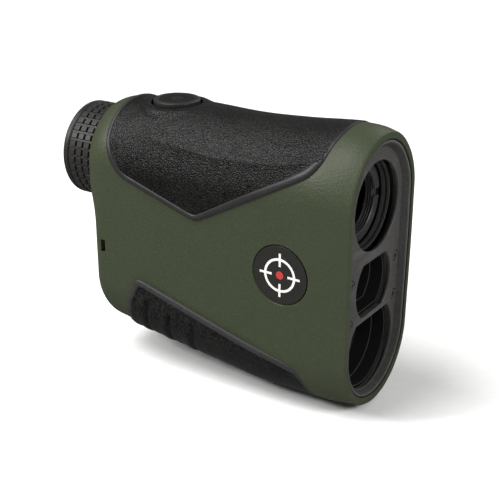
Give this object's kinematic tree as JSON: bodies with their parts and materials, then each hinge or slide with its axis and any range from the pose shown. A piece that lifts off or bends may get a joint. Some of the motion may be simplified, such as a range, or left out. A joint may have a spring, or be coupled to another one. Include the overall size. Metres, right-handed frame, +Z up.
{
  "type": "laser rangefinder",
  "caption": "Hand-held monocular laser rangefinder with a sight, laser emitter and receiver behind a front plate, a top fire button, rubber grips and a turning eyepiece ring.",
  "frame": {"origin": "centre of the overall box, at its lowest point", "axes": "+X along the line of sight, out of the front lenses; +Z up; -Y is the side with the round badge"},
  "size_m": [0.1, 0.038, 0.0813],
  "materials": {
    "olive_shell": "fine-grained matte moulding",
    "black_rubber": "pebbled matte rubber",
    "badge_grey": "satin",
    "black_plastic": "matte moulding",
    "grey_plastic": "fine-grained matte moulding",
    "black_steel": "blackened",
    "black_aluminium": "black anodised",
    "coated_glass": "polished, anti-reflection coated",
    "plated_steel": "tin plated",
    "circuit_board": "solder resist",
    "battery_wrap": "shrink sleeve",
    "contact_brass": "plated"
  },
  "bodies": {
    "body": {"housing": "olive_shell", "top_grip": "black_rubber", "bottom_grip": "black_rubber", "badge": "badge_grey", "lanyard_anchor": "black_plastic", "front_plate": "grey_plastic", "bezel_screw_upper_left": "black_steel", "bezel_screw_upper_right": "black_steel", "bezel_screw_lower_left": "black_steel", "bezel_screw_lower_right": "black_steel", "objective_barrel": "black_aluminium", "objective_lens": "coated_glass", "objective_retainer": "black_aluminium", "roof_prism": "coated_glass", "half_penta_prism": "coated_glass", "prism_cage": "black_plastic", "optics_chassis": "black_aluminium", "lcd_display": "coated_glass", "lcd_holder": "black_plastic", "eyepiece_mount": "black_aluminium", "emitter_barrel": "black_plastic", "emitter_lens": "coated_glass", "laser_diode": "plated_steel", "laser_board": "circuit_board", "receiver_barrel": "black_plastic", "receiver_lens": "coated_glass", "photodiode": "plated_steel", "receiver_board": "circuit_board", "main_board": "circuit_board", "processor_chip": "black_plastic", "converter_coil": "black_plastic", "storage_capacitor": "plated_steel", "battery_tube": "black_plastic", "battery_cell": "battery_wrap", "front_contact": "contact_brass", "button_membrane": "black_rubber", "button_bracket": "black_plastic", "button_board": "circuit_board", "tact_switch": "black_plastic"},
    "fire_button": {"fire_button": "black_rubber", "button_stem": "black_plastic"},
    "diopter_ring": {"diopter_ring": "black_rubber"},
    "ocular_cell": {"ocular_cell": "black_aluminium", "eye_lens": "coated_glass", "field_lens": "coated_glass", "ocular_retainer": "black_aluminium"},
    "cap_seal": {"cap_seal": "black_rubber"},
    "battery_cap": {"battery_cap": "black_plastic", "cap_contact": "contact_brass"}
  },
  "joints": [
    {"name": "fire_press", "type": "slide", "parent": "body", "child": "fire_button", "axis": [0, 0, -1], "range_m": [0, 0.0006], "stiffness_N_per_m": 3000, "springref_m": -0.0002},
    {"name": "diopter_turn", "type": "hinge", "parent": "body", "child": "diopter_ring", "pos_m": [-0.0446, 0, 0.0595], "axis": [-1, 0, 0], "range_deg": [-120, 120]},
    {"name": "ocular_focus", "type": "slide", "parent": "body", "child": "ocular_cell", "axis": [-1, 0, 0], "range_m": [-0.0015, 0.0015]},
    {"name": "cap_travel", "type": "slide", "parent": "body", "child": "cap_seal", "axis": [-1, 0, 0], "range_m": [0, 0.002]},
    {"name": "cap_turn", "type": "hinge", "parent": "cap_seal", "child": "battery_cap", "pos_m": [-0.0388, 0, 0.025], "axis": [-1, 0, 0], "range_deg": [0, 720]}
  ],
  "couplings": [
    {"joint": "ocular_focus", "follows": "diopter_turn", "m_per_rad": 0.0007},
    {"joint": "cap_travel", "follows": "cap_turn", "m_per_rad": 0.000159}
  ]
}
